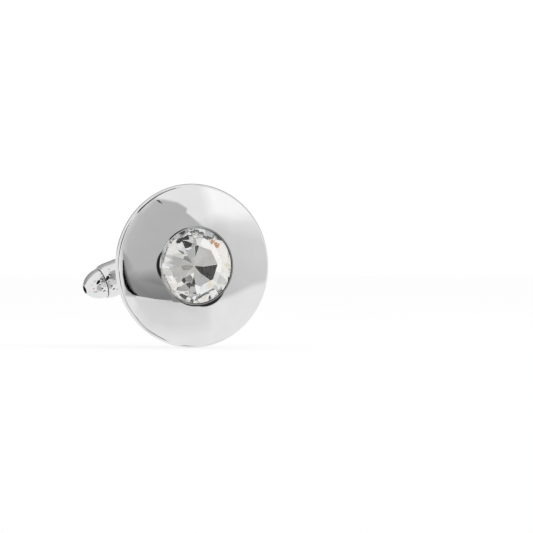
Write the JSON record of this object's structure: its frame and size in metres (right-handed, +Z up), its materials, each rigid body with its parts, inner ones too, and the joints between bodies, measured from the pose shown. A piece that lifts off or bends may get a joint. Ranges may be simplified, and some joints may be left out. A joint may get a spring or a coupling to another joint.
{
  "type": "cufflink",
  "caption": "Round domed cufflink with a bezel-set faceted stone and a bullet toggle that swivels between the legs of a forked post.",
  "frame": {"origin": "centre of the flat on the back of the head, where the post stands and the cuff bears", "axes": "+Y along the post from the head to the toggle, -Y out of the face, +Z up with the face upright as pictured, +X to the right seen from the front"},
  "size_m": [0.018, 0.0182, 0.018],
  "materials": {
    "polished_metal": "brass, rhodium plated and mirror polished",
    "cut_glass": "clear cut glass with a mirrored back",
    "spring_steel": "hard rolled strip"
  },
  "bodies": {
    "head": {"face_dome": "polished_metal", "crystal": "cut_glass", "bezel_ring": "polished_metal", "back_plate": "polished_metal", "post_fork": "polished_metal", "pivot_pin": "polished_metal"},
    "toggle": {"toggle_barrel": "polished_metal", "end_cap_left": "polished_metal", "end_cap_right": "polished_metal", "detent_spring": "spring_steel"}
  },
  "joints": [
    {"name": "toggle_swivel", "type": "hinge", "parent": "head", "child": "toggle", "pos_m": [0, 0.0132, 0], "axis": [-0.342, 0, 0.9397], "range_deg": [-90, 90], "deforming": ["detent_spring"]}
  ]
}
